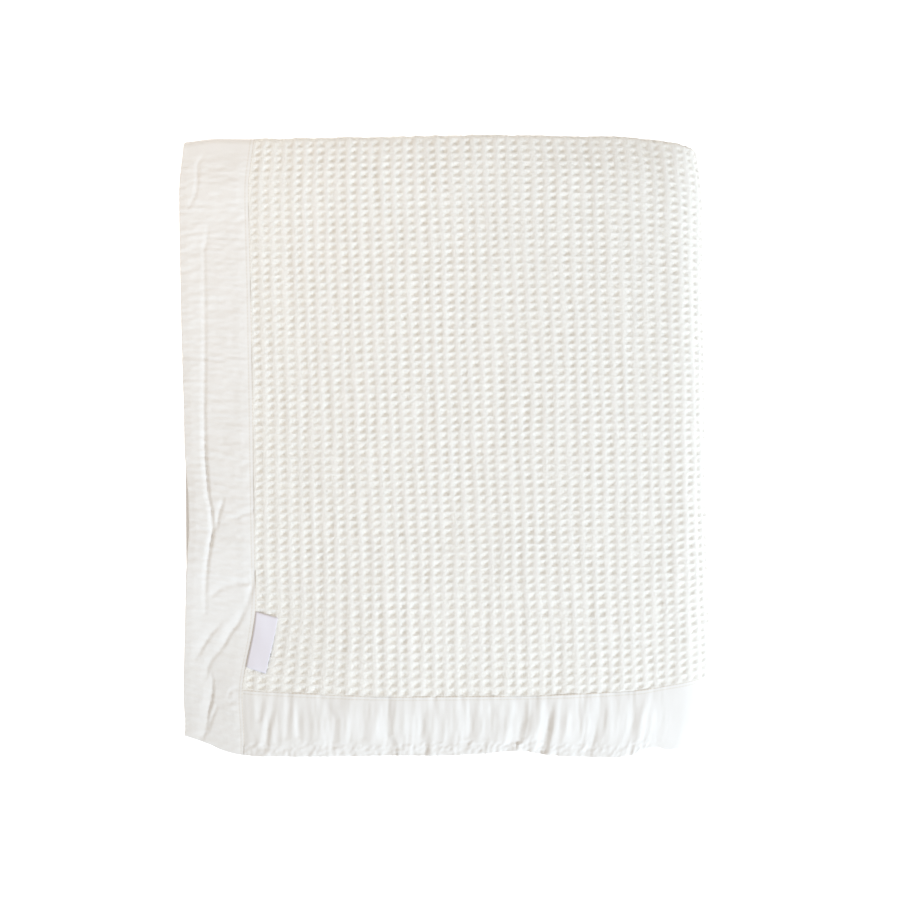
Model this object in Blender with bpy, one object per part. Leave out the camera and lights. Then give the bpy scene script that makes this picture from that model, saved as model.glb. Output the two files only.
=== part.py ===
"""A waffle weave cotton blanket with a plain cotton border, folded in four both ways and lying flat.

Lengths are metres and +Z is up. The origin is on the table, under the middle of the folded blanket. X runs across
the folded blanket to its rounded fold, and Y runs back, away from the loose hem.

The blanket is laid out flat first. There, u is the distance across its width from the loose side edge, v is the
distance along its length from the loose hem, and w is the height above the middle of the cloth, on the side that
ends up outside. It is then folded twice: first its length, then the stack of four layers that this makes.
"""

import math
from bisect import bisect_right

import bmesh
import bpy

# The folded blanket
FOLDED_WIDTH = 0.479
FOLDED_LENGTH = 0.553
LAYER_PITCH = 0.0044  # from one layer of cloth to the next
LAYERS = 4  # in each of the two folds

# The cloth
WAFFLE_THICKNESS = 0.003
BORDER_THICKNESS = 0.0018
BORDER_WIDTH = 0.062
SEAM_GAP = 0.0003  # between the waffle cloth and a border strip, and between two strips

# The folded label, sewn into the side seam
LABEL_LENGTH = 0.045
LABEL_WIDTH = 0.020
LABEL_THICKNESS = 0.0006
LABEL_SLIT = 0.0005  # between its two leaves
LABEL_START = 0.085  # from the loose hem
LABEL_LIFT = 0.0022  # of its folded edge, above where it is sewn
LABEL_SAG = (0.0088, 0.0044)  # of its folded edge towards the hem, at its front and back end
LABEL_NARROWING = 0.15  # of its front end, which turns down with the corner
LABEL_GAP = 0.0004

# How far the layers under the top one stand back from the loose edges
SIDE_TURN_INSET = 0.006
SIDE_EDGE_INSET = 0.003
HEM_TURN_INSET = 0.005
HEM_EDGE_INSET = 0.003

# Every run of both folds has a row of the mesh at these distances from the loose side and from the loose hem. The
# tables below bend only there, so that the layers stay apart.
PLACES_ACROSS = (0.022, BORDER_WIDTH, 0.170, 0.306, 0.410)
PLACES_ALONG = (0.022, BORDER_WIDTH, 0.108, 0.150, 0.310, 0.410, 0.510)
BORDER_ROWS = (0.0, 0.012, 0.020, 0.029, 0.044, BORDER_WIDTH)  # across every strip
TURN_STEPS_ACROSS = (12, 6, 6)  # round the outer, near and inner turn
TURN_STEPS_ALONG = (8, 6, 4)
FINE_STEP_HEM = 0.0052  # between the rows of the gathered hem border on top
FINE_STEP_SIDE = 0.0105  # between the rows of the puckered side border on top

# The outline of the stack, as how far it stands back from the box round it.
# Rows: distance from the loose hem, inset of the loose side, inset of the rounded fold.
SIDE_OUTLINE = (
    (0.000, 0.0050, 0.0105),
    (0.022, 0.0040, 0.0015),
    (BORDER_WIDTH, 0.0055, 0.0000),
    (0.108, 0.0068, 0.0010),
    (0.150, 0.0078, 0.0030),
    (0.310, 0.0070, 0.0055),
    (0.410, 0.0040, 0.0075),
    (0.510, 0.0015, 0.0080),
    (FOLDED_LENGTH, 0.0055, 0.0130),
)
# Rows: distance from the loose side, inset of the loose hem, inset of the back fold.
END_OUTLINE = (
    (0.000, 0.0175, 0.0055),
    (0.022, 0.0110, 0.0018),
    (BORDER_WIDTH, 0.0000, 0.0030),
    (0.170, 0.0010, 0.0022),
    (0.306, 0.0015, 0.0000),
    (0.410, 0.0010, 0.0000),
    (FOLDED_WIDTH, 0.0085, 0.0070),
)
# How far the top layer's edges sway from that, in the borders. Rows: distance from the other edge, outward sway.
SIDE_SWAY = (
    (0.000, 0.0000),
    (0.016, -0.0010),
    (0.036, 0.0005),
    (0.060, 0.0010),
    (0.105, 0.0005),
    (0.150, 0.0000),
    (0.192, -0.0035),
    (0.225, -0.0030),
    (0.260, 0.0000),
    (0.330, 0.0010),
    (0.410, 0.0005),
    (0.510, 0.0000),
)
HEM_SWAY = (
    (0.000, 0.0000),
    (0.028, 0.0000),
    (0.041, 0.0010),
    (0.060, 0.0000),
    (0.130, 0.0005),
    (0.190, -0.0005),
    (0.225, 0.0000),
    (0.265, -0.0015),
    (0.290, -0.0035),
    (0.306, -0.0045),
    (0.322, -0.0010),
    (0.350, 0.0010),
    (0.392, 0.0020),
    (0.410, 0.0000),
    (0.422, -0.0050),
    (0.434, -0.0045),
    (0.440, 0.0000),
)
# Where the seams are pulled to. Rows: distance from the other edge, shift away from the border's own edge.
SIDE_SEAM_SHIFT = (
    (0.022, -0.0060),
    (BORDER_WIDTH, -0.0105),
    (0.108, -0.0014),
    (0.150, 0.0018),
    (0.310, 0.0008),
    (0.410, 0.0020),
    (0.510, 0.0015),
    (FOLDED_LENGTH, 0.0040),
)
END_SEAM_SHIFT = (
    (0.022, -0.0020),
    (BORDER_WIDTH, -0.0030),
    (0.170, -0.0085),
    (0.306, -0.0085),
    (0.410, -0.0035),
    (FOLDED_WIDTH, 0.0020),
)
SIDE_SHIFT_END = 0.170  # from the loose side, where the shift of its seam has died out
END_SHIFT_END = 0.150  # from the loose hem
# The stack is lower towards its loose edges. Rows: distance from the loose side, share of the full height.
HEIGHT_ACROSS = (
    (0.000, 0.86),
    (BORDER_WIDTH, 0.93),
    (0.170, 1.00),
    (0.306, 0.99),
    (0.410, 0.93),
    (FOLDED_WIDTH, 0.80),
)
# Rows: distance from the loose hem, share of the full height.
HEIGHT_ALONG = (
    (0.000, 0.84),
    (BORDER_WIDTH, 0.93),
    (0.150, 1.00),
    (0.410, 1.00),
    (0.510, 0.97),
    (FOLDED_LENGTH, 0.88),
)

# The hem border on top puffs up between its gathers, which are grooves across it.
# Rows: distance from the loose side, depth, width of the long flank, on the loose side's hand.
GATHERS = (
    (0.076, 0.0026, 0.010),
    (0.088, 0.0030, 0.009),
    (0.103, 0.0024, 0.012),
    (0.134, 0.0028, 0.018),
    (0.160, 0.0018, 0.014),
    (0.187, 0.0036, 0.016),
    (0.216, 0.0032, 0.018),
    (0.243, 0.0018, 0.014),
    (0.258, 0.0020, 0.010),
    (0.276, 0.0026, 0.012),
    (0.304, 0.0044, 0.018),
    (0.327, 0.0042, 0.014),
    (0.356, 0.0020, 0.018),
    (0.374, 0.0034, 0.012),
    (0.402, 0.0030, 0.018),
)
GATHER_SHORT_FLANK = 0.0035
HEM_PUFF = 0.0028
HEM_PUFF_ENDS = (0.010, 0.030)  # over which it dies out, at the corner and at the rounded fold

# The side border on top is slack too, and a long crease runs down it as a groove.
# Rows: distance from the loose hem, its place across the border, depth.
SIDE_CREASE = (
    (0.000, 0.030, 0.0010),
    (0.060, 0.026, 0.0030),
    (0.100, 0.016, 0.0012),
    (0.170, 0.021, 0.0024),
    (0.280, 0.022, 0.0030),
    (0.400, 0.019, 0.0024),
    (0.480, 0.014, 0.0010),
    (0.549, 0.012, 0.0000),
)
CREASE_HALF_WIDTH = 0.007
SIDE_PUFF = 0.0013
SIDE_PUFF_EDGES = (0.007, 0.010)  # over which it dies out, at the outer edge and at the seam
SIDE_PUFF_END = 0.030  # and at the back fold
PUCKER_PITCH = 0.031  # of the slow puckers across the side border
PUCKER_HEIGHT = 0.0007

# sRGB colour and roughness of each cloth
WAFFLE_COLOUR = ("F2EFE8", 0.95)
BORDER_COLOUR = ("F3F1EB", 0.9)
LABEL_COLOUR = ("F1EFF4", 0.6)


def table_value(rows, place, column=1):
    """The column's value at a place in a table, straight between its rows."""
    places = [row[0] for row in rows]
    place = min(max(place, places[0]), places[-1])
    after = min(max(bisect_right(places, place), 1), len(rows) - 1)
    low, high = rows[after - 1], rows[after]
    share = (place - low[0]) / (high[0] - low[0])
    return low[column] + share * (high[column] - low[column])


class NestedFold:
    """A layer folded in half and in half again, seen from the side.

    The layer starts on the top level at its loose edge, runs to the far side, turns down round the outer turn to the
    bottom level, comes back, turns up round the near turn, runs out on the second level, turns up round the inner
    turn and comes back on the third level to its other loose edge.
    """

    def __init__(self, span, pitch, stack, turn_inset, edge_inset):
        far = span - 1.5 * pitch - stack / 2
        near = turn_inset + 0.5 * pitch + stack / 2
        reach = (stack - WAFFLE_THICKNESS) / 2  # from the middle of the stack to its outermost sheet

        def run(start, end, level):
            return {"length": abs(end - start), "start": start, "end": end, "height": (level - 0.5) * pitch}

        def turn(centre, middle, radius, heading, sweep):
            length = math.pi * (radius + reach)
            place = {"length": length, "centre": centre, "height": middle * pitch}
            return place | {"radius": radius, "heading": heading, "sweep": sweep}

        half_turn = math.pi
        self.sections = [
            run(0.0, far, LAYERS),
            turn(far, LAYERS / 2, 1.5 * pitch, 0.0, -half_turn),
            run(far, near, 1),
            turn(near, 1, 0.5 * pitch, half_turn, -half_turn),
            run(near, far, 2),
            turn(far, LAYERS / 2, 0.5 * pitch, 0.0, half_turn),
            run(far, edge_inset, 3),
        ]
        self.length = sum(section["length"] for section in self.sections)

    def at(self, distance):
        """(along, height) of the layer's middle at a distance from its first edge, and its normal's two parts."""
        for section in self.sections:
            if distance <= section["length"] or section is self.sections[-1]:
                break
            distance -= section["length"]
        share = distance / section["length"]
        if "radius" in section:
            heading = section["heading"] + share * section["sweep"]
            normal = (-math.sin(heading), math.cos(heading))
            outward = -math.copysign(section["radius"], section["sweep"])
            return section["centre"] + outward * normal[0], section["height"] + outward * normal[1], normal
        forward = section["end"] > section["start"]
        along = section["start"] + share * (section["end"] - section["start"])
        return along, section["height"], (0.0, 1.0 if forward else -1.0)

    def rows(self, places, turn_steps):
        """Distances from the first edge: at the same places of each run, and at even steps round each turn."""
        found, passed, steps = [0.0], 0.0, list(turn_steps)
        for section in self.sections:
            length = section["length"]
            if "radius" in section:
                count = steps.pop(0)
                found += [passed + length * step / count for step in range(1, count + 1)]
            else:
                inside = sorted(abs(place - section["start"]) for place in places)
                found += [passed + at for at in inside if 0.004 < at < length - 0.004]
                found.append(passed + length)
            passed += length
        return found


STACK = (LAYERS - 1) * LAYER_PITCH + WAFFLE_THICKNESS
LENGTH_FOLD = NestedFold(FOLDED_LENGTH, LAYER_PITCH, WAFFLE_THICKNESS, HEM_TURN_INSET, HEM_EDGE_INSET)
WIDTH_FOLD = NestedFold(FOLDED_WIDTH, LAYERS * LAYER_PITCH, STACK, SIDE_TURN_INSET, SIDE_EDGE_INSET)
WIDTH, LENGTH = WIDTH_FOLD.length, LENGTH_FOLD.length
U_ROWS = WIDTH_FOLD.rows(PLACES_ACROSS, TURN_STEPS_ACROSS)
V_ROWS = LENGTH_FOLD.rows(PLACES_ALONG, TURN_STEPS_ALONG)
TOP_RUN_ACROSS = WIDTH_FOLD.sections[0]["length"]
TOP_RUN_ALONG = LENGTH_FOLD.sections[0]["length"]


def seam_share(place, end):
    """How much of a seam's shift is felt at a distance from the edge: all of it at the seam, none at the edge."""
    if place < BORDER_WIDTH:
        return place / BORDER_WIDTH
    return max(0.0, (end - place) / (end - BORDER_WIDTH))


def settled(x, y, z):
    """A point of the squarely folded blanket, moved to where the real one's soft edges and corners have settled."""
    left = table_value(SIDE_OUTLINE, y, 1)
    right = FOLDED_WIDTH - table_value(SIDE_OUTLINE, y, 2)
    front = table_value(END_OUTLINE, x, 1)
    back = FOLDED_LENGTH - table_value(END_OUTLINE, x, 2)
    side_shift = table_value(SIDE_SEAM_SHIFT, y) * seam_share(x, SIDE_SHIFT_END)
    end_shift = table_value(END_SEAM_SHIFT, x) * seam_share(y, END_SHIFT_END)
    height = z * table_value(HEIGHT_ACROSS, x) * table_value(HEIGHT_ALONG, y)
    return (
        left + (right - left) * x / FOLDED_WIDTH + side_shift - FOLDED_WIDTH / 2,
        front + (back - front) * y / FOLDED_LENGTH + end_shift - FOLDED_LENGTH / 2,
        height,
    )


def folded(u, v, w):
    """Where the point (u, v, w) of the flat blanket is once it is folded both ways."""
    along, height, (lean, rise) = LENGTH_FOLD.at(v)
    y = along + w * lean
    offset = height + w * rise - LAYERS / 2 * LAYER_PITCH
    across, level, (lean, rise) = WIDTH_FOLD.at(u)
    under_side = (LAYER_PITCH - WAFFLE_THICKNESS) / 2
    return settled(across + offset * lean, y, level + offset * rise - under_side)


def bracket(rows, distance):
    """The rows on both sides of a distance, and its share of the way between them."""
    after = min(max(bisect_right(rows, distance), 1), len(rows) - 1)
    low, high = rows[after - 1], rows[after]
    return low, high, (distance - low) / (high - low)


def on_facets(u, v, w):
    """As folded, but straight between the shared rows, so that pieces with rows of their own do not overlap."""
    u_low, u_high, across = bracket(U_ROWS, u)
    v_low, v_high, along = bracket(V_ROWS, v)
    corners = [
        (folded(u_low, v_low, w), (1 - across) * (1 - along)),
        (folded(u_high, v_low, w), across * (1 - along)),
        (folded(u_low, v_high, w), (1 - across) * along),
        (folded(u_high, v_high, w), across * along),
    ]
    return tuple(sum(point[axis] * share for point, share in corners) for axis in range(3))


def between(rows, low, high, margin=0.004):
    """The rows strictly between two distances, with those two at the ends."""
    return [low] + [row for row in rows if low + margin < row < high - margin] + [high]


def with_fine_rows(rows, until, step):
    """The rows, with even ones no more than a step apart up to a distance."""
    found = [rows[0]]
    for row in rows[1:]:
        gap = row - found[-1]
        count = max(1, round(gap / step)) if row <= until + 1e-9 else 1
        found += [found[-1] + gap * part / count for part in range(1, count)] + [row]
    return found


def sheet(name, material, rows, columns, place, thickness):
    """A closed sheet of cloth. place(row, column, w) is a point w above its middle."""
    mesh = bpy.data.meshes.new(name)
    bm = bmesh.new()
    faces = []
    for w in (-thickness / 2, thickness / 2):
        faces.append([[bm.verts.new(place(row, column, w)) for column in columns] for row in rows])
    under, over = faces
    for i in range(len(rows) - 1):
        for j in range(len(columns) - 1):
            for grid, flip in ((over, False), (under, True)):
                corners = [grid[i][j], grid[i + 1][j], grid[i + 1][j + 1], grid[i][j + 1]]
                bm.faces.new(corners[::-1] if flip else corners)
    ring = [(i, 0) for i in range(len(rows))]
    ring += [(len(rows) - 1, j) for j in range(1, len(columns))]
    ring += [(i, len(columns) - 1) for i in range(len(rows) - 2, -1, -1)]
    ring += [(0, j) for j in range(len(columns) - 2, 0, -1)]
    for (i, j), (k, m) in zip(ring, ring[1:] + ring[:1]):
        bm.faces.new([over[i][j], under[i][j], under[k][m], over[k][m]])
    bmesh.ops.triangulate(bm, faces=bm.faces)
    bmesh.ops.recalc_face_normals(bm, faces=bm.faces)
    bm.to_mesh(mesh)
    bm.free()
    mesh.materials.append(material)
    mesh.shade_smooth()
    mesh.set_sharp_from_angle(angle=math.radians(50))
    piece = bpy.data.objects.new(name, mesh)
    bpy.context.scene.collection.objects.link(piece)
    return piece


def swayed(point, u, v):
    """A point of the top layer's borders, moved with the sway of their edges."""
    side = table_value(SIDE_SWAY, v) * max(0.0, 1 - u / BORDER_WIDTH)
    hem = table_value(HEM_SWAY, u) * max(0.0, 1 - v / BORDER_WIDTH)
    return point[0] - side, point[1] - hem, point[2]


def puff_share(from_start, from_end, fades):
    """How much of a border's puff is left this far from its start and end, with the two lengths it fades over."""
    return max(0.0, min(1.0, from_start / fades[0], from_end / fades[1]))


def hem_lift(u, v):
    """How far the hem border on top is lifted by its puffs, which the gathers part."""
    depth = 0.0
    for place, bottom, flank in GATHERS:
        ahead = u - place
        width = flank if ahead < 0 else GATHER_SHORT_FLANK
        depth = max(depth, bottom * math.exp(-((ahead / width) ** 2)))
    rise = math.sin(math.pi / 2 * min(1.0, 1.6 * (1 - v / BORDER_WIDTH)))
    share = puff_share(u - BORDER_WIDTH, TOP_RUN_ACROSS - u, HEM_PUFF_ENDS)
    return (HEM_PUFF - depth) * share * rise


def side_lift(u, v):
    """How far the side border on top is lifted by its slack, which the crease parts, and by its slow puckers."""
    place, bottom = table_value(SIDE_CREASE, v, 1), table_value(SIDE_CREASE, v, 2)
    depth = bottom * max(0.0, 1 - abs(u - place) / CREASE_HALF_WIDTH)
    across = puff_share(u, BORDER_WIDTH - u, SIDE_PUFF_EDGES)
    share = across * min(1.0, (TOP_RUN_ALONG - v) / SIDE_PUFF_END)
    wave = 0.5 + 0.5 * math.sin(2 * math.pi * v / PUCKER_PITCH)
    pucker = PUCKER_HEIGHT * math.sin(math.pi * u / BORDER_WIDTH) * wave
    return (SIDE_PUFF - depth + pucker) * share


def cloth(name, colour):
    """A woven cloth's material, from its sRGB hex colour and roughness."""
    code, roughness = colour
    parts = [int(code[at : at + 2], 16) / 255 for at in (0, 2, 4)]
    linear = [part / 12.92 if part <= 0.04045 else ((part + 0.055) / 1.055) ** 2.4 for part in parts]
    material = bpy.data.materials.new(name)
    material.use_nodes = True
    shader = material.node_tree.nodes["Principled BSDF"]
    shader.inputs["Base Color"].default_value = (*linear, 1.0)
    shader.inputs["Roughness"].default_value = roughness
    shader.inputs["Metallic"].default_value = 0.0
    return material


def make_panel(material):
    """The waffle cloth, inside the borders."""
    edge = BORDER_WIDTH + SEAM_GAP
    rows = between(U_ROWS, edge, WIDTH - edge)
    columns = between(V_ROWS, edge, LENGTH - edge)
    sheet("waffle_panel", material, rows, columns, on_facets, WAFFLE_THICKNESS)


def make_side_border(name, material, upper):
    """The border strip down one side, the whole length of it. The upper one lies on top of the stack."""
    columns = with_fine_rows(V_ROWS, TOP_RUN_ALONG, FINE_STEP_SIDE) if upper else V_ROWS

    def place(inset, v, w):
        if not upper:
            return on_facets(WIDTH - inset, v, w)
        if v > TOP_RUN_ALONG:
            return on_facets(inset, v, w)
        return swayed(on_facets(inset, v, w + side_lift(inset, v)), inset, v)

    sheet(name, material, BORDER_ROWS, columns, place, BORDER_THICKNESS)


def make_end_border(name, material, upper):
    """The border strip along one end, between the side strips. The upper one starts on top, at the gathered hem."""
    edge = BORDER_WIDTH + SEAM_GAP
    rows = between(U_ROWS, edge, WIDTH - edge)
    if upper:
        rows = with_fine_rows(rows, TOP_RUN_ACROSS, FINE_STEP_HEM)

    def place(u, inset, w):
        if not upper:
            return on_facets(u, LENGTH - inset, w)
        if u > TOP_RUN_ACROSS:
            return on_facets(u, inset, w)
        return swayed(on_facets(u, inset, w + hem_lift(u, inset)), u, inset)

    sheet(name, material, rows, BORDER_ROWS, place, BORDER_THICKNESS)


def make_label(material):
    """The blank label: a tape folded in half along its length, its two cut edges sewn into the side seam."""
    leaf = LABEL_THICKNESS + LABEL_SLIT  # from the middle of the lower leaf to that of the upper one
    turn_radius = leaf / 2
    flat = LABEL_WIDTH - turn_radius - LABEL_THICKNESS / 2
    base = WAFFLE_THICKNESS / 2 + LABEL_GAP + LABEL_THICKNESS / 2
    profile = [(0.0, 0.0, 1.0), (flat / 2, 0.0, 1.0)]
    turn_steps = 4
    for step in range(turn_steps + 1):
        angle = math.pi * step / turn_steps
        profile.append((flat + turn_radius * math.sin(angle), turn_radius * (1 - math.cos(angle)), math.cos(angle)))
    profile += [(flat / 2, leaf, -1.0), (0.0, leaf, -1.0)]
    across = [math.sin(math.acos(max(-1.0, min(1.0, upright)))) for _, _, upright in profile]

    def place(station, share, w):
        out, up, upright = profile[station]
        u = BORDER_WIDTH + SEAM_GAP + LABEL_GAP + out * (1 - LABEL_NARROWING * (1 - share)) - w * across[station]
        sag = (LABEL_SAG[0] + share * (LABEL_SAG[1] - LABEL_SAG[0])) * out / LABEL_WIDTH
        lift = LABEL_LIFT * out / LABEL_WIDTH
        return on_facets(u, LABEL_START + LABEL_LENGTH * share - sag, base + up + lift + w * upright)

    sheet("label", material, range(len(profile)), [0.0, 0.5, 1.0], place, LABEL_THICKNESS)


def stand_at_origin():
    """Moves the whole blanket so that the middle of the box round it is above the origin."""
    meshes = [piece.data for piece in bpy.data.objects]
    points = [vertex.co for mesh in meshes for vertex in mesh.vertices]
    for axis in (0, 1):
        places = [point[axis] for point in points]
        middle = (min(places) + max(places)) / 2
        for point in points:
            point[axis] -= middle


def main():
    for old in list(bpy.data.objects):
        bpy.data.objects.remove(old)
    waffle = cloth("waffle_cotton", WAFFLE_COLOUR)
    plain = cloth("border_cotton", BORDER_COLOUR)
    make_panel(waffle)
    make_side_border("side_border_upper", plain, True)
    make_side_border("side_border_lower", plain, False)
    make_end_border("end_border_upper", plain, True)
    make_end_border("end_border_lower", plain, False)
    make_label(cloth("label_tape", LABEL_COLOUR))
    stand_at_origin()
    print(f"flat blanket {WIDTH:.3f} x {LENGTH:.3f} m")


main()
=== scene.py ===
"""The looks of a waffle weave cotton blanket with a plain border, folded in four both ways and lying flat.

Lengths are metres. As in the solids, u is the distance across the flat blanket's width from its loose side
edge, v the distance along its length from the loose hem, and w the height above the middle of the cloth, on
its outer side.
"""

import math

import bpy
import numpy as np
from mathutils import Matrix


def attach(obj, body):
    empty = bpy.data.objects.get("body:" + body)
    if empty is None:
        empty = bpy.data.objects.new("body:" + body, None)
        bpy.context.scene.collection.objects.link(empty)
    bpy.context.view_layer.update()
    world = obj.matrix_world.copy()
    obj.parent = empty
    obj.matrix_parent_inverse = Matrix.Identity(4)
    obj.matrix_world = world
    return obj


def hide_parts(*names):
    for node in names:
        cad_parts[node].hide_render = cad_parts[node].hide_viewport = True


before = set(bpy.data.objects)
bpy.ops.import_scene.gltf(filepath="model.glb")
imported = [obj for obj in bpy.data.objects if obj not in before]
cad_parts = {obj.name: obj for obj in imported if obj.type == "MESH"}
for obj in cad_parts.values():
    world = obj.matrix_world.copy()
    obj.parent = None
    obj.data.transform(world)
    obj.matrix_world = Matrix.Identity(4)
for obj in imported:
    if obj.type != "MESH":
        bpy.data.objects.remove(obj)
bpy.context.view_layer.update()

# The folded blanket and its cloth, as in the solids
FOLDED_WIDTH = 0.479
FOLDED_LENGTH = 0.553
LAYER_PITCH = 0.0044
LAYERS = 4
WAFFLE_THICKNESS = 0.003
BORDER_THICKNESS = 0.0018
BORDER_WIDTH = 0.062
SIDE_TURN_INSET, SIDE_EDGE_INSET = 0.006, 0.003
HEM_TURN_INSET, HEM_EDGE_INSET = 0.005, 0.003
CENTRE_SHIFT = (-0.00075, 0.0004)  # from the fold's own middle to the middle of the box round it
GAP = 0.0001  # between the waffle cloth or an end strip and what it meets
SEAM_LAP = 0.0006  # how far the border's folded edge lies over the waffle cloth
SEAM_RISE, SEAM_RISE_REACH = 0.0001, 0.006  # of the border there
END_TUCK = 0.0006  # how far the end of an end strip reaches under the side strip
EDGE_RADIUS = 0.0008  # of a border strip's two folded edges
EDGE_FULLNESS = 0.95  # under 1, so that the folded edges stay a little blunt
STITCH_PITCH = 0.0030
STITCH_INSET = 0.0032  # from the border's inner edge to its line of stitches
THREAD_AND_SHADE_REACH = 0.0006  # to each side of a line, how far its thread and painted shade show

# One cell of the waffle weave: a pocket with sloping walls, a wide rib on each side, and narrow cross ribs
CELL_ACROSS = 0.0106
CELL_ALONG = 0.00705
FACE_CELLS = (46, 72)  # that show, on top and round the two folds
ROWS_ACROSS = (0.0, 0.17, 0.29, 0.40, 0.50, 0.60, 0.71, 0.83)  # of the mesh, as shares of a cell
ROWS_ALONG = (0.0, 0.12, 0.31, 0.50, 0.69, 0.88)
POCKET_DEPTH = 0.0018
POCKET_SPREAD, PATCH_SPREAD = 0.22, 0.25  # how unlike each other single cells and longer patches are
POCKET_LIMITS = (0.25, 1.4)  # of a cell's own depth, as shares
POCKET_STRAY = 0.03  # of a pocket's bottom from the middle of its cell, as a share
CROSS_RIB_DROP = 0.0003  # of the cross ribs, below the long ones
RIB_RELIEF = 0.00055  # how much prouder or lower some stretches of the ribs stand
YARN_RELIEF = 0.0002
SEAM_LEVEL = 0.0010  # of the relief's edge, which the border's edge lies on
SEAM_EASE = (0.0020, 0.0016)  # how soon the cells rise from the seams, across and along
END_EASE = (0.010, 0.007)  # how soon the relief levels out where it ends inside the stack
SHEET_LEFT = 0.0001  # of the plain sheet's thickness below the relief
SHEET_RISE = ((0.004, 0.006), (0.003, 0.005))  # how far before the relief's end it is whole, and how soon
RIB_WANDER, ROW_WANDER = 0.0009, 0.0005  # how far the cells' lines stray from straight

# Tables of the settled shape, as in the solids.
# Rows: distance from the loose hem, inset of the loose side, inset of the rounded fold.
SIDE_OUTLINE = (
    (0.000, 0.0050, 0.0105),
    (0.022, 0.0040, 0.0015),
    (BORDER_WIDTH, 0.0055, 0.0000),
    (0.108, 0.0068, 0.0010),
    (0.150, 0.0078, 0.0030),
    (0.310, 0.0070, 0.0055),
    (0.410, 0.0040, 0.0075),
    (0.510, 0.0015, 0.0080),
    (FOLDED_LENGTH, 0.0055, 0.0130),
)
# Rows: distance from the loose side, inset of the loose hem, inset of the back fold.
END_OUTLINE = (
    (0.000, 0.0175, 0.0055),
    (0.022, 0.0110, 0.0018),
    (0.044, 0.0038, 0.0024),
    (BORDER_WIDTH, 0.0000, 0.0030),
    (0.170, 0.0010, 0.0022),
    (0.306, 0.0015, 0.0000),
    (0.410, 0.0010, 0.0000),
    (FOLDED_WIDTH, 0.0085, 0.0070),
)
# Rows: distance from the other edge, outward sway of the top layer's edge.
SIDE_SWAY = (
    (0.000, 0.0000),
    (0.016, -0.0010),
    (0.036, 0.0005),
    (0.060, 0.0010),
    (0.105, 0.0005),
    (0.150, 0.0000),
    (0.192, -0.0035),
    (0.225, -0.0030),
    (0.260, 0.0000),
    (0.330, 0.0010),
    (0.410, 0.0005),
    (0.510, 0.0000),
)
HEM_SWAY = (
    (0.000, 0.0000),
    (0.028, 0.0000),
    (0.041, 0.0010),
    (0.060, 0.0000),
    (0.130, 0.0005),
    (0.190, -0.0005),
    (0.225, 0.0000),
    (0.265, -0.0015),
    (0.290, -0.0035),
    (0.306, -0.0045),
    (0.322, -0.0010),
    (0.350, 0.0010),
    (0.392, 0.0020),
    (0.410, 0.0000),
    (0.422, -0.0050),
    (0.434, -0.0045),
    (0.440, 0.0000),
)
# Rows: distance from the other edge, shift of the seam away from the border's own edge.
SIDE_SEAM_SHIFT = (
    (0.022, -0.0060),
    (BORDER_WIDTH, -0.0105),
    (0.086, -0.0060),
    (0.112, -0.0005),
    (0.135, 0.0022),
    (0.160, 0.0016),
    (0.310, 0.0008),
    (0.410, 0.0020),
    (0.510, 0.0015),
    (FOLDED_LENGTH, 0.0040),
)
END_SEAM_SHIFT = (
    (0.022, -0.0020),
    (BORDER_WIDTH, -0.0030),
    (0.170, -0.0085),
    (0.306, -0.0085),
    (0.410, -0.0035),
    (FOLDED_WIDTH, 0.0020),
)
SIDE_SHIFT_END = 0.170
END_SHIFT_END = 0.150
# Rows: distance from the loose side or hem, share of the full height.
HEIGHT_ACROSS = (
    (0.000, 0.86),
    (BORDER_WIDTH, 0.93),
    (0.170, 1.00),
    (0.306, 0.99),
    (0.410, 0.93),
    (FOLDED_WIDTH, 0.80),
)
HEIGHT_ALONG = (
    (0.000, 0.84),
    (BORDER_WIDTH, 0.93),
    (0.150, 1.00),
    (0.410, 1.00),
    (0.510, 0.97),
    (FOLDED_LENGTH, 0.88),
)

# Soft dips and swells of the whole stack. Rows: distance from the loose side and from the loose hem, reach to
# the left, to the right and along, and depth as a share of the full height.
DIPS = (
    (0.064, 0.120, 0.050, 0.070, 0.062, 0.115),  # beside the label
    (0.000, 0.050, 0.040, 0.060, 0.085, 0.110),  # at the loose corner
    (0.450, 0.270, 0.060, 0.032, 0.400, 0.040),  # before the rounded fold
    (0.479, 0.270, 0.040, 0.040, 0.400, -0.065),  # the rounded fold itself
    (0.420, 0.553, 0.085, 0.050, 0.020, 0.080),  # the back fold, near its right corner
    (0.230, 0.532, 0.180, 0.160, 0.030, -0.035),  # the back fold's middle
)

RIB_SWING = 0.007  # how far the ribs lean to the right towards the hem, mid panel
RIB_WAVE = 0.0012
SWELL = 0.014  # the slow rise and fall of the top, as a share of the height

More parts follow.
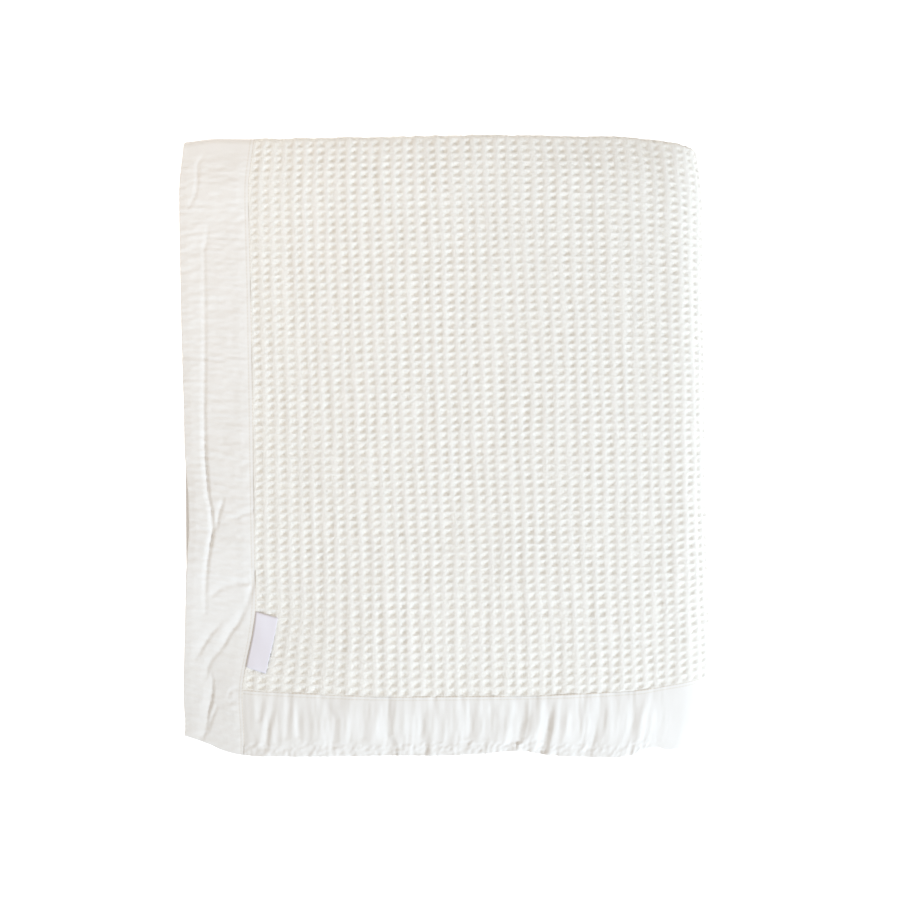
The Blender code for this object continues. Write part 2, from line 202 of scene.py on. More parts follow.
# The hem border on top puffs up between its gathers, which are grooves, in millimetres. A groove's long flank
# slopes down to its bottom, and its short flank rises from it, on the left hand of one who walks along it.
# Rows: width of the long flank, of the short flank, and points along the bottom, each with its distance from
# the loose side, from the loose hem, and its depth.
GATHERS = (
    (5.0, 1.6, ((72.9, 60.6, 1.2), (72.9, 50.0, 1.6), (72.0, 35.1, 0.6))),
    (6.0, 2.0, ((83.9, 60.6, 1.4), (82.6, 42.1, 2.2), (79.0, 26.3, 2.0), (76.8, 8.7, 1.4))),
    (7.0, 2.5, ((96.6, 60.6, 1.4), (96.6, 42.1, 1.8), (95.7, 21.0, 0.8))),
    (4.0, 2.5, ((104.5, 60.6, 1.6), (105.4, 42.1, 2.2), (106.3, 20.1, 1.0))),
    (8.0, 2.5, ((128.3, 58.8, 0.6), (131.8, 48.3, 1.4), (138.8, 35.1, 1.8), (137.9, 13.1, 1.2))),
    (10.0, 4.0, ((162.5, 57.0, 0.8), (163.4, 42.1, 1.4), (163.4, 19.3, 1.0))),
    (11.0, 2.5, ((186.3, 57.0, 2.0), (185.8, 39.5, 3.2), (185.4, 19.3, 2.4), (191.5, 8.7, 2.0))),
    (9.0, 5.0, ((214.4, 56.2, 0.8), (215.3, 42.1, 1.4), (215.3, 21.9, 1.6), (218.8, 6.9, 1.0))),
    (10.0, 4.0, ((257.9, 55.3, 0.8), (258.3, 42.1, 1.6), (258.3, 21.9, 0.8))),
    (9.0, 4.0, ((276.8, 54.4, 0.6), (276.8, 39.5, 1.2), (276.8, 19.3, 0.8))),
    (12.0, 2.2, ((310.2, 59.7, 1.6), (305.8, 50.0, 4.0), (304.9, 33.3, 4.4), (301.4, 13.1, 3.4))),
    (9.0, 2.2, ((329.1, 56.2, 1.6), (328.7, 42.1, 3.4), (327.3, 28.0, 3.8), (322.9, 6.9, 3.0))),
    (12.0, 8.0, ((354.2, 55.3, 0.6), (355.0, 35.1, 1.6), (356.8, 13.1, 1.2))),
    (11.0, 3.2, ((374.8, 57.9, 0.8), (373.5, 42.1, 2.4), (370.0, 23.6, 2.4), (364.7, 6.1, 1.8))),
    (12.0, 3.2, ((407.8, 59.7, 1.0), (406.0, 48.3, 2.2), (402.5, 30.7, 1.8), (400.7, 19.3, 0.8))),
    (12.0, 6.0, ((425.3, 61.4, 0.4), (424.5, 39.5, 1.2), (425.3, 19.3, 0.8))),
)
# The creases of the side border on top, in the same way: the long one, those that run into it or into the
# seam, and those that the corner pulls in.
CREASES = (
    (3.0, 3.0, ((21.5, 535.2, 1.0), (15.8, 526.4, 1.4), (16.3, 511.5, 1.4), (14.9, 499.2, 1.2),
        (7.8, 486.9, 0.6))),
    (6.0, 2.2, ((26.6, 471.0, 0.8), (26.2, 461.4, 1.0), (23.3, 450.8, 0.9), (24.1, 404.2, 1.2),
        (24.5, 351.5, 1.6), (23.7, 307.6, 2.0), (23.7, 281.2, 2.6), (24.3, 254.8, 3.0), (25.0, 231.1, 3.0),
        (27.6, 219.7, 3.0), (28.5, 202.1, 3.2), (26.7, 188.9, 3.0), (25.0, 175.7, 2.6), (23.7, 149.3, 1.8),
        (23.7, 129.1, 1.0))),
    (3.0, 1.8, ((39.0, 228.4, 1.2), (34.2, 215.3, 1.6), (32.7, 205.6, 1.2))),
    (3.0, 1.4, ((68.5, 219.7, 0.6), (59.2, 216.8, 0.8), (52.7, 213.5, 0.8), (44.8, 212.2, 0.5))),
    (4.0, 2.5, ((63.2, 155.5, 1.6), (48.7, 154.1, 1.4), (37.7, 151.1, 1.2), (28.9, 143.2, 1.0))),
    (3.0, 2.5, ((67.6, 165.2, 1.5), (65.9, 153.7, 2.0), (62.8, 143.2, 1.6), (60.6, 135.3, 0.8))),
    (5.0, 2.0, ((58.8, 131.8, 1.2), (52.2, 118.6, 2.2), (45.2, 109.8, 2.4), (40.7, 101.0, 2.2),
        (34.2, 92.2, 1.0))),
    (5.0, 2.0, ((36.0, 117.7, 0.8), (28.9, 109.8, 1.8), (21.7, 99.2, 2.0), (17.2, 90.4, 1.0))),
    (4.0, 1.8, ((37.7, 97.5, 0.8), (29.4, 86.9, 1.4), (25.4, 79.0, 1.4), (24.5, 69.4, 1.0))),
    (6.0, 1.8, ((29.8, 69.4, 1.5), (29.6, 57.0, 3.0), (28.1, 48.3, 3.2), (25.4, 38.6, 2.8),
        (21.9, 20.1, 1.8))),
    (2.5, 2.0, ((33.3, 44.7, 1.0), (28.9, 36.0, 1.6), (25.9, 28.0, 1.6), (23.5, 21.0, 1.0))),
    (1.8, 1.4, ((42.5, 52.0, 0.3), (43.9, 56.2, 0.8), (46.5, 60.4, 1.0), (51.8, 61.3, 0.9),
        (57.3, 58.4, 0.4))),
    (1.6, 1.4, ((50.2, 57.0, 0.5), (52.6, 54.2, 0.9), (56.4, 52.7, 0.8), (60.2, 53.7, 0.3))),
    (1.6, 1.4, ((45.5, 48.6, 0.4), (49.2, 50.6, 0.7), (50.8, 53.6, 0.3))),
)
LONG_CREASES = 2  # of the rows above; the others are drawn as the corner's
# Shares of their widths at which the long and the short flanks are drawn
LONG_CREASE_FLANKS = (0.65, 1.2)
CORNER_CREASE_FLANKS = (1.5, 1.2)
GATHER_FLANKS = (0.9, 2.2)
WIDEST_SHORT_FLANK = 8.0  # in millimetres
GROOVE_SHARPNESS = 1.3  # over 1, which makes the bottom sharper than the flanks
HEM_PUFF, SIDE_PUFF = 0.0028, 0.0012  # how far the slack cloth rises between the grooves
GATHER_DEPTH, GATHER_EASE = 0.0047, 0.0022  # grooves near this depth are eased, so that none cuts deeper
DEEPEST_GROOVE = 0.0021  # below the flat cloth, which the gap to the next layer leaves room for
CREASE_SHARE = 1.2  # the corner's creases are drawn this much deeper than in their table
HEM_FOLD = 0.015  # the turned hem of the gathered border, up to its line of stitches

# Heights of the border's finer forms
SOFT_FOLD = 0.0007
CRINKLE, FINE_CRINKLE = 0.00054, 0.00045  # across the side border
PLEAT_RIPPLE, FINE_PLEAT = 0.00075, 0.00038  # along the gathers of the hem border
HEM_PUCKER, HEM_CRUMPLE = 0.0004, 0.0007
SEAM_DIP, STITCH_DIP = 0.00025, 0.00012  # along the line of stitches, and at each stitch
SEAM_DIP_REACH = 0.0007
TUCK_DIP, TUCK_REACH = 0.0002, 0.0020  # of the end strip where it meets the side strip

# How soon the slack cloth is free of what holds it
CRINKLE_EASE = 0.006  # from the side seam
SIDE_PUFF_EASE = (0.007, 0.010)  # from the loose edge and from the side seam
CORNER_HOLD = (0.006, 0.004)  # of the end strip on the side strip's inner corner, along and across
PLEAT_EASE, HEM_PUFF_EASE = 0.008, 0.010  # from the side strip
HEM_PUFF_RISE = 1.6  # over 1, so that the puffs are full well before the hem
HEM_EDGE_EASE, HEM_LINE_STRAY = 0.004, 0.004  # from the hem's line of stitches, and how far that strays
FOLD_EASE = (0.03, 0.02)  # from the rounded fold and from the back fold

# The blank label
LABEL_LENGTH = 0.048
LABEL_WIDTH = 0.020
LABEL_START = 0.082
LABEL_SAG = 0.0044  # of its folded end towards the hem
LABEL_NARROWING = 0.15  # at its front end, as a share of its width
LABEL_FOLD_RADIUS = 0.0004
LABEL_THICKNESS = 0.0003
LABEL_OUT = 0.0004  # from the seam's line to where it comes out
LABEL_REST = 0.0002  # above the cells that it lies on
LABEL_HOLD = 0.005  # how far the seam holds it down
LABEL_PRESS, LABEL_CLOSING = 0.0005, 0.6  # how much lower and more closed it is there
LABEL_LIFT, LABEL_BOW, LABEL_WAVE = 0.0004, 0.0005, 0.0002  # of its folded end, its middle, and along it
LABEL_POINTS, LABEL_TURN_STEPS, LABEL_ROWS = 12, 8, 24  # of its mesh, across a leaf, round the fold, and along

# The meshes
TURN_STEPS_ACROSS = (28, 12, 14)  # of the waffle cloth, round the outer, the near and the inner turn
TURN_STEPS_ALONG = (14, 10, 10)
BORDER_TURN_STEPS = (28, 12, 12)
PLAIN_STEP = 0.024  # between the plain sheet's rows
RIM_ROWS = (0.0004, 0.0008, 0.0016)  # from its edge, which keep the rounded shading of the edge off its faces
BORDER_STEP, HEM_BORDER_STEP = 0.0015, 0.0012  # on top
HIDDEN_STEP, HIDDEN_ROW_STEP = 0.004, 0.016  # across and along the strips inside the stack
STRIP_EDGE = 0.0022  # how wide a strip's two edges are, which have rows of their own

# Patterns of the cloth, by how many of their bumps fit in a metre
TONE_PATCHES = 45.0  # 22 mm wide
FIBRES, FIBRE_RELIEF = 1100.0, 2.5  # 0.9 mm wide; their height is beside that of the yarns' crossings
CROSSING_RELIEF = 0.5
TUFTS, TUFT_RELIEF = 480.0, 3.0  # 2.1 mm wide, where the waffle's soft yarns bunch
FLECKS, FLECK_CONTRAST, FLECK_LEVEL = 850.0, 1.7, -0.83  # 1.2 mm wide, random spots of the pockets' painted-shade colour
WALL_BUMPS, WALL_STRAY = 420.0, 0.30  # 2.4 mm wide, and how far they move a pocket's edge, in cells
POCKET_PAINTED_SHADE = 0.45  # how much of the pockets' painted shade, a warmer and darker colour, lies in a pocket
POCKET_RELIEF, FLAT_POCKET_RELIEF = -2.0, -14.0  # of cells with a shape of their own, and of those drawn flat
SEAM_THREAD_AND_SHADE, STITCH_THREAD_AND_SHADE = 0.30, 0.16  # how strongly the thread and its painted shade show at the seam, and on the line of stitches
STITCH_CONTRAST = 0.35  # between a stitch and the gap to the next

# The view: straight down, from this height above the top of the stack
CAMERA_HEIGHT = 1.30
TOP_HEIGHT = 0.069
VIEW_WIDTH = 0.7911  # of the top of the stack, across the picture
CAMERA_OFFSET = (0.0020, -0.0036)
TABLE_HALF = 4.0


def curve(rows, column=1, soften=0.008):
    """A table's column as a function of distance, with its corners softened."""
    step, margin = 0.001, 0.03
    places = np.array([row[0] for row in rows])
    values = np.array([row[column] for row in rows])
    at = np.arange(places[0] - 2 * margin, places[-1] + 2 * margin, step)
    reach = np.arange(-margin, margin + step / 2, step)
    weights = np.exp(-((reach / soften) ** 2) / 2)
    drawn = np.convolve(np.interp(at, places, values), weights / weights.sum(), mode="same")
    inside = (at > places[0] - margin) & (at < places[-1] + margin)
    return lambda distance: np.interp(distance, at[inside], drawn[inside])


def unevenness(seed, across, along):
    """A smooth random field of -1 to 1 whose bumps are about as wide as the two lengths."""
    size = 128
    knots = np.random.default_rng(seed).uniform(-1, 1, (size, size))

    def at(x, y):
        column, row = np.asarray(x) / across, np.asarray(y) / along
        i, j = np.floor(column).astype(int), np.floor(row).astype(int)
        s, t = column - i, row - j
        s, t = s * s * (3 - 2 * s), t * t * (3 - 2 * t)
        corners = [knots[(i + a) % size, (j + b) % size] for a, b in ((0, 0), (1, 0), (0, 1), (1, 1))]
        low = corners[0] + s * (corners[1] - corners[0])
        high = corners[2] + s * (corners[3] - corners[2])
        return low + t * (high - low)

    return at


class NestedFold:
    """A layer folded in half and in half again, seen from the side, as in the solids: it starts on the top
    level at its loose edge, goes down round the outer turn, back along the bottom, and inwards from there."""

    def __init__(self, span, pitch, stack, turn_inset, edge_inset):
        far = span - 1.5 * pitch - stack / 2
        near = turn_inset + 0.5 * pitch + stack / 2
        reach = (stack - WAFFLE_THICKNESS) / 2
        runs = {0: (0.0, far, 4), 2: (far, near, 1), 4: (near, far, 2), 6: (far, edge_inset, 3)}
        turns = {1: (far, 2, 1.5, 0.0, -1), 3: (near, 1, 0.5, math.pi, -1), 5: (far, 2, 0.5, 0.0, 1)}
        self.sections, passed = [], 0.0
        for number in range(7):
            if number in runs:
                start, end, level = runs[number]
                length = abs(end - start)
            else:
                length = math.pi * (turns[number][2] * pitch + reach)
            self.sections.append((passed, length, runs.get(number), turns.get(number)))
            passed += length
        self.length, self.pitch = passed, pitch

    def at(self, distance):
        """Along, height, and the two parts of the normal, for an array of distances from the first edge."""
        distance = np.asarray(distance, float)
        along, height, lean, rise = (np.zeros_like(distance) for _ in range(4))
        for number, (start, length, run, turn) in enumerate(self.sections):
            here = (distance >= start if number else np.isfinite(distance)) & (
                distance < start + length if number < 6 else np.isfinite(distance)
            )
            share = (distance[here] - start) / length
            if run:
                first, last, level = run
                along[here] = first + share * (last - first)
                height[here] = (level - 0.5) * self.pitch
                rise[here] = 1.0 if last > first else -1.0
            else:
                centre, middle, radius, heading, way = turn
                angle = heading + way * math.pi * share
                lean[here], rise[here] = -np.sin(angle), np.cos(angle)
                along[here] = centre - way * radius * self.pitch * lean[here]
                height[here] = (middle - way * radius * rise[here]) * self.pitch
        return along, height, lean, rise

    def start_of(self, number):
        return self.sections[number][0]


STACK = (LAYERS - 1) * LAYER_PITCH + WAFFLE_THICKNESS
LENGTH_FOLD = NestedFold(FOLDED_LENGTH, LAYER_PITCH, WAFFLE_THICKNESS, HEM_TURN_INSET, HEM_EDGE_INSET)
WIDTH_FOLD = NestedFold(FOLDED_WIDTH, LAYERS * LAYER_PITCH, STACK, SIDE_TURN_INSET, SIDE_EDGE_INSET)
WIDTH, LENGTH = WIDTH_FOLD.length, LENGTH_FOLD.length
TOP_ACROSS, TOP_ALONG = WIDTH_FOLD.start_of(1), LENGTH_FOLD.start_of(1)

loose_side, rounded_side = curve(SIDE_OUTLINE, 1), curve(SIDE_OUTLINE, 2)
loose_end, back_end = curve(END_OUTLINE, 1), curve(END_OUTLINE, 2)
side_shift, end_shift = curve(SIDE_SEAM_SHIFT, soften=0.012), curve(END_SEAM_SHIFT, soften=0.012)
height_across, height_along = curve(HEIGHT_ACROSS, soften=0.015), curve(HEIGHT_ALONG, soften=0.015)
side_sway, hem_sway = curve(SIDE_SWAY, soften=0.004), curve(HEM_SWAY, soften=0.003)
swell = unevenness(3, 0.11, 0.13)
ripple = unevenness(4, 0.05, 0.09)


def seam_share(place, end):
    """How much of a seam's shift is felt this far from the edge: all of it at the seam, none at the edge."""
    fading = np.clip((end - place) / (end - BORDER_WIDTH), 0, 1)
    return np.where(place < BORDER_WIDTH, place / BORDER_WIDTH, fading)


def settled(x, y, z):
    """Points of the squarely folded blanket, moved to where the real one's soft edges and corners settled."""
    left, right = loose_side(y), FOLDED_WIDTH - rounded_side(y)
    front, back = loose_end(x), FOLDED_LENGTH - back_end(x)
    mid_panel = np.sin(math.pi * np.clip((x - BORDER_WIDTH) / (FOLDED_WIDTH - BORDER_WIDTH), 0, 1))
    swing = RIB_SWING * (1 - 2 * y / FOLDED_LENGTH) + RIB_WAVE * ripple(x * 0.6, y)
    across = left + (right - left) * x / FOLDED_WIDTH + swing * mid_panel
    across = across + side_shift(y) * seam_share(x, SIDE_SHIFT_END)
    along = front + (back - front) * y / FOLDED_LENGTH + end_shift(x) * seam_share(y, END_SHIFT_END)
    rise = SWELL * swell(x + 0.3, y + 0.2)
    for at_x, at_y, left_reach, right_reach, along_reach, depth in DIPS:
        aside = (x - at_x) / np.where(x < at_x, left_reach, right_reach)
        rise = rise - depth * np.exp(-(aside**2) - ((y - at_y) / along_reach) ** 2)
    height = z * height_across(x) * height_along(y) * (1 + rise * (z / TOP_HEIGHT) ** 2)
    return np.stack(
        [
            across - FOLDED_WIDTH / 2 + CENTRE_SHIFT[0],
            along - FOLDED_LENGTH / 2 + CENTRE_SHIFT[1],
            height,
        ],
        axis=-1,
    )


def folded(u, v, w):
    """Where points (u, v, w) of the flat blanket are once it is folded both ways."""
    u, v, w = np.broadcast_arrays(u, v, w)
    along, height, lean, rise = LENGTH_FOLD.at(v)
    y, offset = along + w * lean, height + w * rise - LAYERS / 2 * LAYER_PITCH
    across, level, lean, rise = WIDTH_FOLD.at(u)
    under_side = (LAYER_PITCH - WAFFLE_THICKNESS) / 2
    return settled(across + offset * lean, y, level + offset * rise - under_side)


def steps(start, end, step):
    """Even places from start to end, no more than a step apart."""
    return np.linspace(start, end, max(1, math.ceil((end - start) / step)) + 1)


def fold_rows(fold, low, high, step, turn_counts):
    """Places along a fold from low to high: a step apart on its runs, and evenly round each turn."""
    found = [low, high]
    for number, (start, length, run, _) in enumerate(fold.sections):
        count = turn_counts[number // 2] if number % 2 else math.ceil(length / step)
        found += list(start + length * np.arange(count + 1) / count)
    found = np.unique(np.round(found, 6))
    return found[(found >= low) & (found <= high)]


def add_maps(mesh, flat, chart, strip=None):
    """Two maps of the mesh: one in metres of flat cloth, for the patterns, and one that lays it out on a
    square. A border has a third one, of the distances across and along its strip."""
    corners = np.zeros(len(mesh.loops), np.int32)
    mesh.loops.foreach_get("vertex_index", corners)
    maps = [("cloth", flat), ("OFBake", chart)]
    if strip is not None:
        maps.append(("strip", strip))
    for name, places in maps:
        layer = mesh.uv_layers.new(name=name)
        layer.uv.foreach_set("vector", places[corners].astype(np.float32).ravel())


def make_mesh(name, points, quads, flat, chart, material, strip=None):
    mesh = bpy.data.meshes.new(name)
    mesh.from_pydata(points.reshape(-1, 3).tolist(), [], quads.tolist())
    add_maps(mesh, flat, chart, strip)
    mesh.materials.append(material)
    mesh.shade_smooth()
    piece = bpy.data.objects.new(name, mesh)
    bpy.context.scene.collection.objects.link(piece)
    return piece


def grid_quads(rows, columns, first=0, flip=False):
    index = first + np.arange(rows * columns).reshape(rows, columns)
    quads = np.stack([index[:-1, :-1], index[1:, :-1], index[1:, 1:], index[:-1, 1:]], axis=-1).reshape(-1, 4)
    return quads[:, ::-1] if flip else quads


def on_square(flat, margin):
    """Places of the flat cloth, stretched over a square of 1 by 1 with a margin round them."""
    low, high = flat.min((0, 1)), flat.max((0, 1))
    return margin + (1 - 2 * margin) * ((flat - low) / (high - low)).reshape(-1, 2)


def surface(name, points, flat, material):
    """An open surface from a grid of points, with the places of the flat cloth."""
    quads = grid_quads(*points.shape[:2])
    return make_mesh(name, points, quads, flat.reshape(-1, 2), on_square(flat, 0.01), material)


def closed_sheet(name, over, under, flat, material, strip=None):
    """A closed sheet of cloth from the grids of its two faces, which lie side by side on the square chart."""
    rows, columns = over.shape[:2]
    count = rows * columns
    index = np.arange(count).reshape(rows, columns)
    ring = np.concatenate([index[:, 0], index[-1, 1:], index[-2::-1, -1], index[0, -2:0:-1]])
    ahead = np.roll(ring, -1)
    rim = np.stack([ring, ring + count, ahead + count, ahead], axis=-1)
    quads = np.concatenate([grid_quads(rows, columns), grid_quads(rows, columns, count, True), rim])
    flat_both = np.concatenate([flat.reshape(-1, 2)] * 2)
    chart = on_square(flat, 0.02) * (0.5, 1.0)
    sides = np.concatenate([chart, chart + (0.5, 0.0)])
    if strip is not None:
        strip = np.concatenate([strip.reshape(-1, 2)] * 2)
    return make_mesh(name, np.stack([over, under]), quads, flat_both, sides, material, strip)


def groove_depth(x, y, folds, flank_shares):
    """How deep a table of grooves lies at points this far from the loose side and hem. The long and the short
    flanks are drawn at these shares of their widths, and sharper at the bottom than in the solids."""
    long_share, short_share = flank_shares
    depth = np.zeros_like(x)
    for long_flank, short_flank, bottom in folds:
        points = np.array(bottom) / 1000
        nearest = np.full_like(x, np.inf)
        drop = np.zeros_like(x)
        for (x0, y0, d0), (x1, y1, d1) in zip(points, points[1:]):
            run, rise = x1 - x0, y1 - y0
            share = np.clip(((x - x0) * run + (y - y0) * rise) / (run**2 + rise**2), 0, 1)
            aside, ahead = x - x0 - share * run, y - y0 - share * rise
            apart = np.hypot(aside, ahead)
            short = min(short_flank * short_share, WIDEST_SHORT_FLANK) / 1000
            long = long_flank * long_share / 1000
            flank = np.where(run * ahead - rise * aside > 0, short, long)
            profile = np.clip(1 - apart / flank, 0, 1) ** GROOVE_SHARPNESS
            closer = apart < nearest
            nearest = np.where(closer, apart, nearest)
            drop = np.where(closer, (d0 + share * (d1 - d0)) * profile, drop)
        depth = np.maximum(depth, drop)
    return depth


yarn_unevenness = unevenness(22, 0.0022, 0.0016)
rib_relief = unevenness(26, 0.8, 7.0)  # in cells: long ribs that stand prouder or lean
rib_wander = unevenness(24, 0.011, 0.026)
row_wander = unevenness(25, 0.016, 0.012)
crinkle = unevenness(12, 0.016, 0.0024)
fine_crinkle = unevenness(13, 0.0050, 0.0017)
soft_fold = unevenness(14, 0.030, 0.022)
pleat_ripple = unevenness(17, 0.0050, 0.030)
hem_pucker = unevenness(15, 0.0034, 0.010)
hem_crumple = unevenness(16, 0.0021, 0.0027)
fine_pleats = unevenness(19, 0.0024, 0.016)
hem_line = unevenness(18, 0.014, 0.014)


def border_lift(u, v, x, y, along_side):
    """How far slack, folds and crinkles lift the top layer's borders. x and y are from its loose edges."""
    inset, length = (u, v) if along_side else (v, u)
    lift = SOFT_FOLD * soft_fold(u, v)
    if along_side:
        # The seam and the outer edge hold the cloth down, and the end strip holds the inner corner
        slack = np.clip((BORDER_WIDTH - u) / CRINKLE_EASE, 0, 1)
        lift += slack * (CRINKLE * crinkle(u, v) + FINE_CRINKLE * fine_crinkle(u, v))
        from_edge, from_seam = SIDE_PUFF_EASE
        share = np.clip(np.minimum(u / from_edge, (BORDER_WIDTH - u) / from_seam), 0, 1)
        lift += SIDE_PUFF * share - groove_depth(x, y, CREASES[:LONG_CREASES], LONG_CREASE_FLANKS)
        held = ramp(v, BORDER_WIDTH + CORNER_HOLD[0], BORDER_WIDTH)
        held = held * ramp(u, BORDER_WIDTH - CORNER_HOLD[1], BORDER_WIDTH)
        corner_creases = groove_depth(x, y, CREASES[LONG_CREASES:], CORNER_CREASE_FLANKS)
        lift -= CREASE_SHARE * (1 - held) * corner_creases
    else:
        slack = np.clip((u - BORDER_WIDTH) / PLEAT_EASE, 0, 1)
        lift += slack * (PLEAT_RIPPLE * pleat_ripple(u, v) + FINE_PLEAT * fine_pleats(u, v))
        hem_zone = np.clip((HEM_FOLD + HEM_LINE_STRAY * hem_line(u, 0 * v) - v) / HEM_EDGE_EASE, 0, 1)
        lift += hem_zone * (HEM_PUCKER * hem_pucker(u, v) + HEM_CRUMPLE * hem_crumple(u, v))
        rise = np.sin(math.pi / 2 * np.clip(HEM_PUFF_RISE * (1 - v / BORDER_WIDTH), 0, 1))
        share = np.clip((u - BORDER_WIDTH) / HEM_PUFF_EASE, 0, 1) * rise
        grooves = groove_depth(x, y, GATHERS, GATHER_FLANKS)
        lift += (HEM_PUFF - GATHER_DEPTH * (1 - np.exp(-grooves / GATHER_EASE))) * share
        lift -= TUCK_DIP * np.exp(-(((u - BORDER_WIDTH) / TUCK_REACH) ** 2))
    stitch_line = np.exp(-(((inset - BORDER_WIDTH + STITCH_INSET) / SEAM_DIP_REACH) ** 2))
    stitches = SEAM_DIP + STITCH_DIP * np.sin(2 * math.pi * length / STITCH_PITCH)
    return np.maximum(lift, -DEEPEST_GROOVE) - stitch_line * stitches


def rounded_edges(inset):
    """The share of the full thickness across a border strip, whose two edges are folds of its cloth."""
    edge = np.minimum(inset, BORDER_WIDTH + SEAM_LAP - inset)
    return np.sqrt(1 - np.clip(1 - edge / EDGE_RADIUS, 0, EDGE_FULLNESS) ** 2)


def strip_insets(step):
    """Places across a border strip, closer together at its two rounded edges."""
    edge = EDGE_RADIUS * np.array([0.0, 0.25, 0.5, 1.0])
    inner = BORDER_WIDTH + SEAM_LAP
    return np.concatenate([edge, steps(STRIP_EDGE, inner - STRIP_EDGE, step), inner - edge[::-1]])


def border_points(u, v, inset, along_side, on_top, side):
    """A border's points at side times half its thickness from its middle."""
    half = BORDER_THICKNESS / 2 * rounded_edges(inset)
    rise = SEAM_RISE * np.exp(-(((BORDER_WIDTH + SEAM_LAP - inset) / SEAM_RISE_REACH) ** 2))
    base = folded(u, v, 0 * u)
    x = base[..., 0] + FOLDED_WIDTH / 2 + CENTRE_SHIFT[0]
    y = base[..., 1] + FOLDED_LENGTH / 2 + CENTRE_SHIFT[1]
    fade = np.clip((TOP_ACROSS - u) / FOLD_EASE[0], 0, 1) * np.clip((TOP_ALONG - v) / FOLD_EASE[1], 0, 1)
    lift = fade * on_top * border_lift(u, v, x, y, along_side)
    points = folded(u, v, side * half + rise + lift)
    points[..., 0] -= on_top * side_sway(v) * np.clip(1 - u / BORDER_WIDTH, 0, 1)
    points[..., 1] -= on_top * hem_sway(u) * np.clip(1 - v / BORDER_WIDTH, 0, 1)
    return points


def make_border(node, material, along_side, upper):
    """A border strip: along_side says whether it runs along a side or an end, upper whether it starts on top.
    The side strips run the whole length, and the end strips lie between them."""
    if along_side:
        fold, top, step = LENGTH_FOLD, TOP_ALONG, BORDER_STEP
        low, high = 0.0, LENGTH
    else:
        fold, top, step = WIDTH_FOLD, TOP_ACROSS, HEM_BORDER_STEP
        low, high = BORDER_WIDTH - END_TUCK, WIDTH - BORDER_WIDTH - GAP
    insets = strip_insets(step if upper else HIDDEN_STEP)
    distance = fold_rows(fold, low, high, HIDDEN_ROW_STEP, BORDER_TURN_STEPS)
    if upper:
        distance = np.concatenate([steps(low, top, step), distance[distance > top]])
        distance = np.unique(np.round(distance, 6))
    if along_side:
        inset, v = np.meshgrid(insets, distance, indexing="ij")
        u = inset if upper else WIDTH - inset
    else:
        u, inset = np.meshgrid(distance, insets, indexing="ij")
        v = inset if upper else LENGTH - inset
    on_top = (u < TOP_ACROSS) & (v < TOP_ALONG) & upper
    over, under = (border_points(u, v, inset, along_side, on_top, side) for side in (1.0, -1.0))
    grids = [over, under, np.stack([u, v], axis=-1), np.stack([inset, v if along_side else u], axis=-1)]
    if not upper:
        grids = [np.flip(grid, 0 if along_side else 1) for grid in grids]
    over, under, flat, strip = grids
    return closed_sheet(f"{node}_strip", over, under, flat, material, strip)


def ramp(at, start, end):
    """From 0 to 1 between two places, smoothly."""
    share = np.clip((at - start) / (end - start), 0, 1)
    return share * share * (3 - 2 * share)


def cell_relief(columns, rows):
    """The waffle weave's outer face over the mesh of its cells: its height, and its rows counted in cells."""
    across, along = len(ROWS_ACROSS), len(ROWS_ALONG)
    i, j = np.meshgrid(np.arange(columns * across + 1), np.arange(rows * along + 1), indexing="ij")
    s, t = np.array(ROWS_ACROSS)[i % across], np.array(ROWS_ALONG)[j % along]
    random = np.random.default_rng(21)
    cell = (i // across, j // along)
    u, v = cell[0] + s, cell[1] + t
    worn = unevenness(23, 3.0, 9.0)(u, v)  # longer patches, where the cells lie flatter

    def vary(middle, spread):
        return random.normal(middle, spread, (columns + 1, rows + 1))[cell]

    depth = POCKET_DEPTH * (vary(1.0, POCKET_SPREAD) + PATCH_SPREAD * worn).clip(*POCKET_LIMITS)
    aside = np.abs(s - vary(0.5, POCKET_STRAY)) / (0.5 - ROWS_ACROSS[1])
    ahead = np.abs(t - vary(0.5, POCKET_STRAY)) / (0.5 - ROWS_ALONG[1])
    pocket = np.clip(1 - np.maximum(aside, ahead), 0, 1)
    on_long_rib = np.clip(1 - np.minimum(s, 1 - s) / ROWS_ACROSS[1], 0, 1)
    height = WAFFLE_THICKNESS / 2 - depth * pocket - CROSS_RIB_DROP * (1 - on_long_rib)
    return height + RIB_RELIEF * rib_relief(u, v), u, v


def smooth_normals(points):
    """The normals of a surface given as a grid of points."""
    across, along = np.gradient(points, axis=0), np.gradient(points, axis=1)
    normals = np.cross(across, along)
    return normals / np.linalg.norm(normals, axis=-1, keepdims=True)


